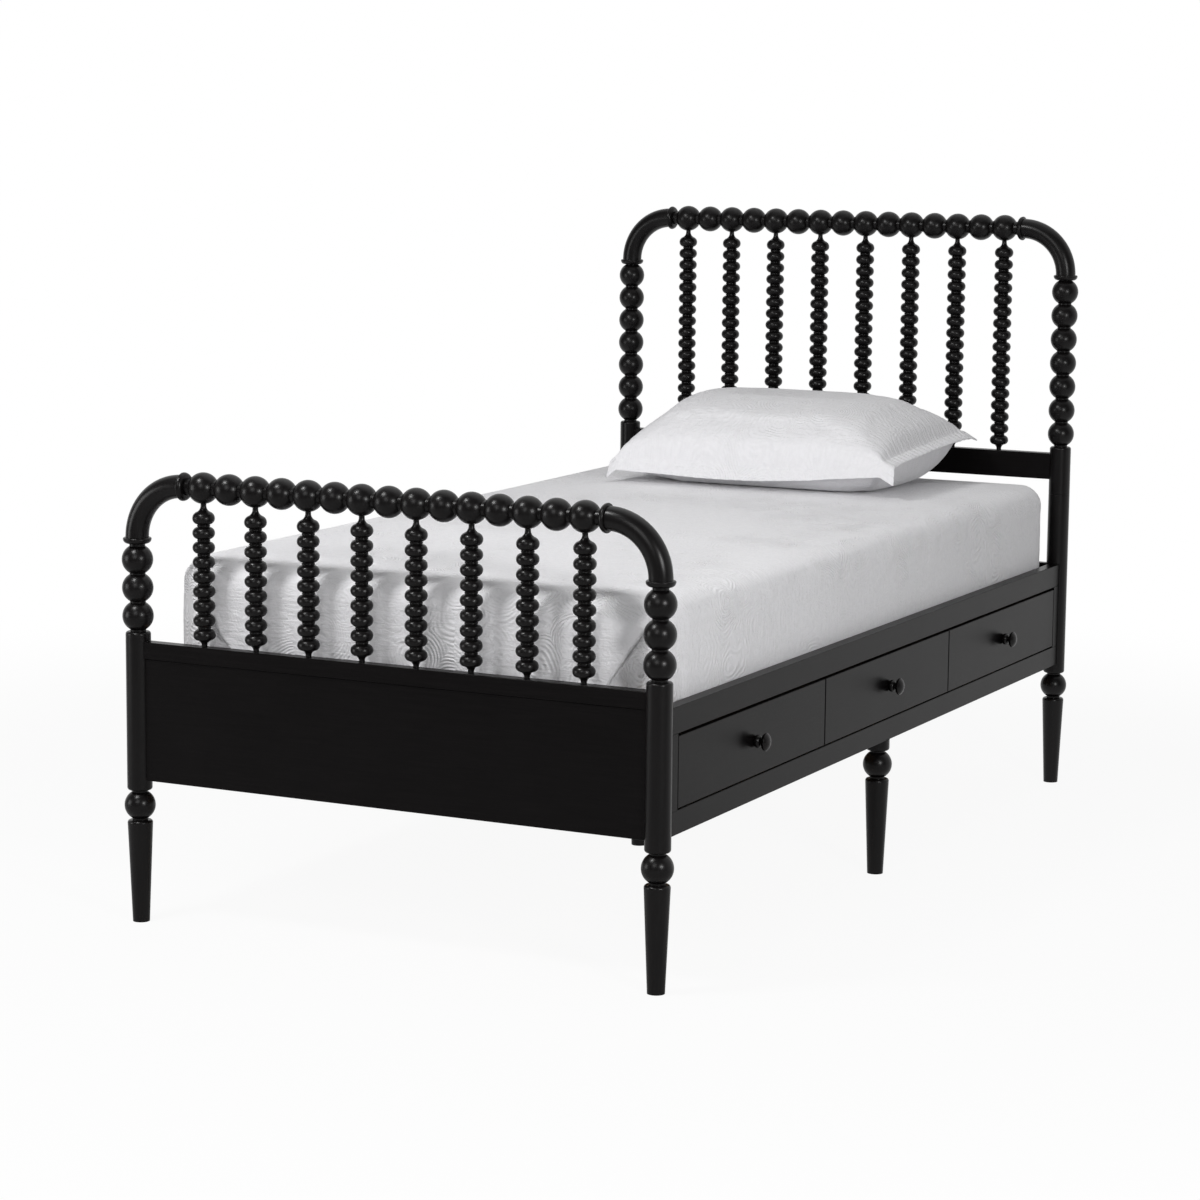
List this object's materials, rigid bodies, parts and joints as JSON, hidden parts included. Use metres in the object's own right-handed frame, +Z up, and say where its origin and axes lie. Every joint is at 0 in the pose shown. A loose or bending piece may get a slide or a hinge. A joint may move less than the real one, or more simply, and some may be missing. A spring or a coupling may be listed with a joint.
{
  "type": "platform bed",
  "caption": "Single platform bed with ball-turned posts, bent corners and beaded spindles at both ends, a slatted base, drawers along one side, a mattress and a pillow.",
  "frame": {"origin": "on the floor, midway between the four corner posts", "axes": "+X to the drawer side, +Y from foot to head, +Z up"},
  "size_m": [1.0845, 2.0088, 1.2085],
  "materials": {
    "black_lacquer": "satin black lacquer",
    "plain_wood": "plain sanded wood",
    "slide_steel": "zinc plated",
    "mattress_cover": "white quilted cotton",
    "pillow_cover": "white quilted cotton"
  },
  "bodies": {
    "frame": {"centre_beam": "plain_wood", "centre_leg": "black_lacquer", "drawer_divider_1": "plain_wood", "drawer_divider_2": "plain_wood", "drawer_divider_3": "plain_wood", "drawer_divider_4": "plain_wood", "foot_ball_rail": "black_lacquer", "foot_elbow_left": "black_lacquer", "foot_elbow_right": "black_lacquer", "foot_panel": "black_lacquer", "foot_post_left": "black_lacquer", "foot_post_right": "black_lacquer", "foot_spindle_rail": "black_lacquer", "foot_spindles": "black_lacquer", "head_ball_rail": "black_lacquer", "head_elbow_left": "black_lacquer", "head_elbow_right": "black_lacquer", "head_leg_left": "black_lacquer", "head_leg_right": "black_lacquer", "head_panel": "black_lacquer", "head_post_left": "black_lacquer", "head_post_right": "black_lacquer", "head_spindle_rail": "black_lacquer", "head_spindles": "black_lacquer", "left_ledger": "plain_wood", "left_side_rail": "black_lacquer", "right_bottom_rail": "black_lacquer", "right_foot_stile": "black_lacquer", "right_head_stile": "black_lacquer", "right_ledger": "plain_wood", "right_middle_leg": "black_lacquer", "right_top_rail": "black_lacquer", "slats": "plain_wood", "slide_channels": "slide_steel"},
    "drawer_foot": {"drawer_foot_back": "plain_wood", "drawer_foot_bottom": "plain_wood", "drawer_foot_front": "black_lacquer", "drawer_foot_knob": "black_lacquer", "drawer_foot_left_side": "plain_wood", "drawer_foot_right_side": "plain_wood", "drawer_foot_runners": "slide_steel"},
    "drawer_middle": {"drawer_middle_back": "plain_wood", "drawer_middle_bottom": "plain_wood", "drawer_middle_front": "black_lacquer", "drawer_middle_knob": "black_lacquer", "drawer_middle_left_side": "plain_wood", "drawer_middle_right_side": "plain_wood", "drawer_middle_runners": "slide_steel"},
    "drawer_head": {"drawer_head_back": "plain_wood", "drawer_head_bottom": "plain_wood", "drawer_head_front": "black_lacquer", "drawer_head_knob": "black_lacquer", "drawer_head_left_side": "plain_wood", "drawer_head_right_side": "plain_wood", "drawer_head_runners": "slide_steel"},
    "mattress": {"mattress": "mattress_cover"},
    "pillow": {"pillow": "pillow_cover"}
  },
  "joints": [
    {"name": "drawer_foot_slide", "type": "slide", "parent": "frame", "child": "drawer_foot", "axis": [1, 0, 0], "range_m": [0, 0.33]},
    {"name": "drawer_middle_slide", "type": "slide", "parent": "frame", "child": "drawer_middle", "axis": [1, 0, 0], "range_m": [0, 0.33]},
    {"name": "drawer_head_slide", "type": "slide", "parent": "frame", "child": "drawer_head", "axis": [1, 0, 0], "range_m": [0, 0.33]},
    {"name": "mattress_lift", "type": "slide", "parent": "frame", "child": "mattress", "axis": [0, 0, 1], "range_m": [0, 0.4]},
    {"name": "pillow_lift", "type": "slide", "parent": "mattress", "child": "pillow", "axis": [0, 0, 1], "range_m": [0, 0.25]}
  ]
}
